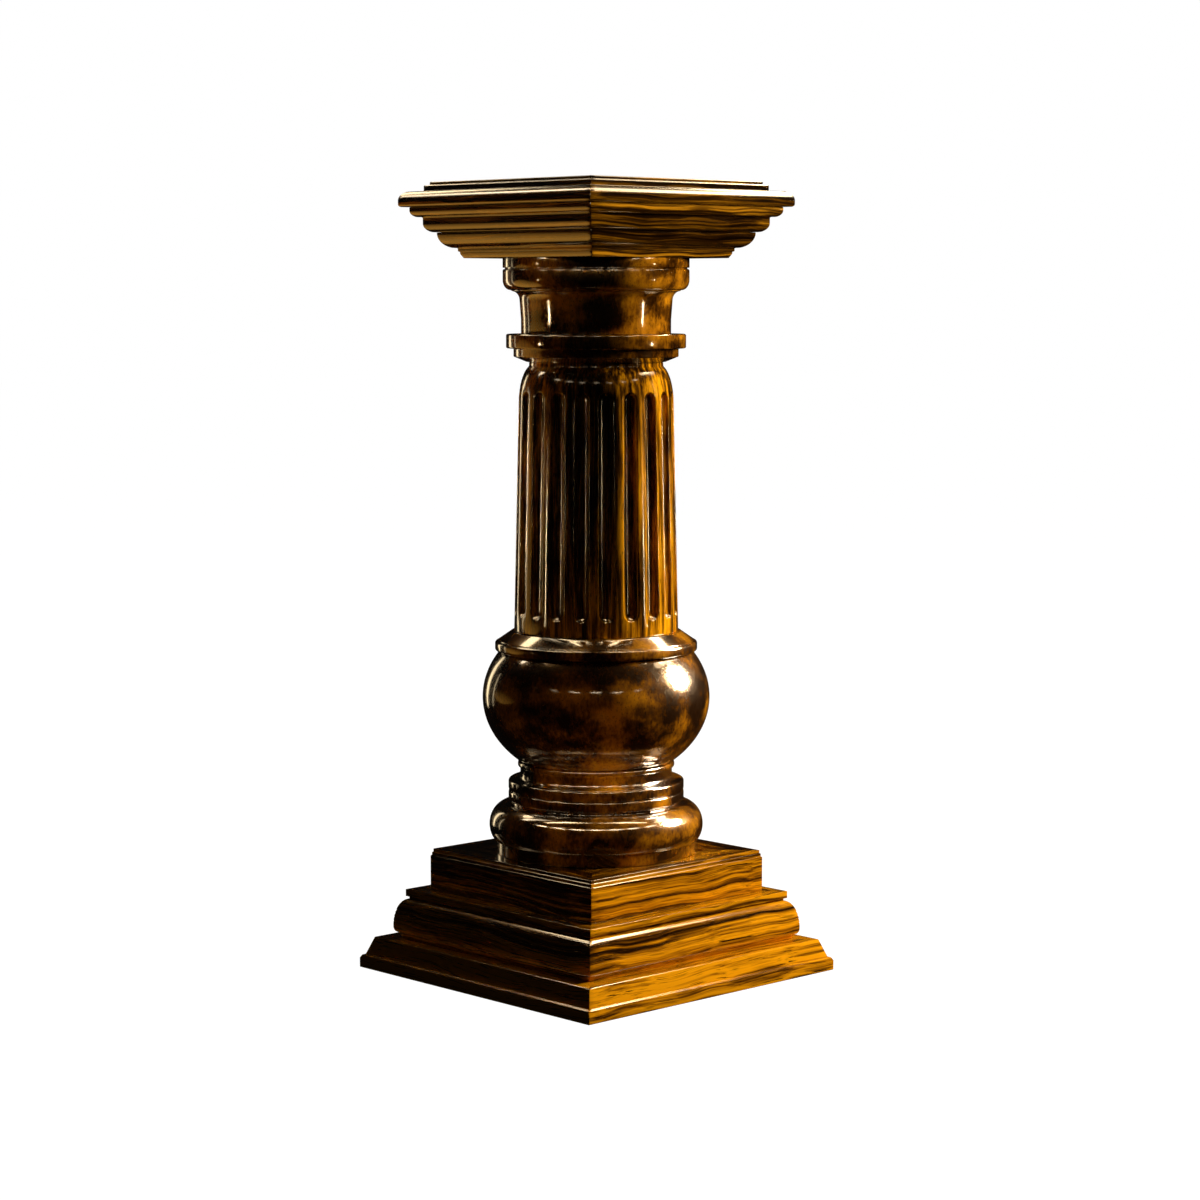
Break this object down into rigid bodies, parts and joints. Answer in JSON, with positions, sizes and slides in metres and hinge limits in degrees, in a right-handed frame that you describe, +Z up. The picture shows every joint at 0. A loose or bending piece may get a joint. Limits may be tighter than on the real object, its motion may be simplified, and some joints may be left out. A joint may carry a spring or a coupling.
{
  "type": "fluted wooden pedestal",
  "caption": "Free-standing display pedestal of dark varnished wood: moulded square top, fluted column over a turned bulb and rings, and a stepped square plinth.",
  "frame": {"origin": "middle of the underside of the plinth, on the floor", "axes": "+Z up along the column's axis; the sides of the square plinth and top run along X and Y"},
  "size_m": [0.3934, 0.3934, 0.914],
  "materials": {
    "plinth_wood": "gloss varnish, streaked amber-brown grain",
    "turned_wood": "high-gloss varnish, dark brown with amber figure",
    "top_wood": "gloss varnish, dark brown with golden streaks"
  },
  "bodies": {
    "root": {"plinth_base_board": "plinth_wood", "plinth_middle_board": "plinth_wood", "plinth_block": "plinth_wood", "turned_foot": "turned_wood", "bulb": "turned_wood", "bulb_collar": "turned_wood", "fluted_shaft": "turned_wood", "neck_ring": "turned_wood", "capital": "turned_wood", "ovolo_board": "top_wood", "bed_moulding": "top_wood", "top_board": "top_wood"}
  },
  "joints": []
}
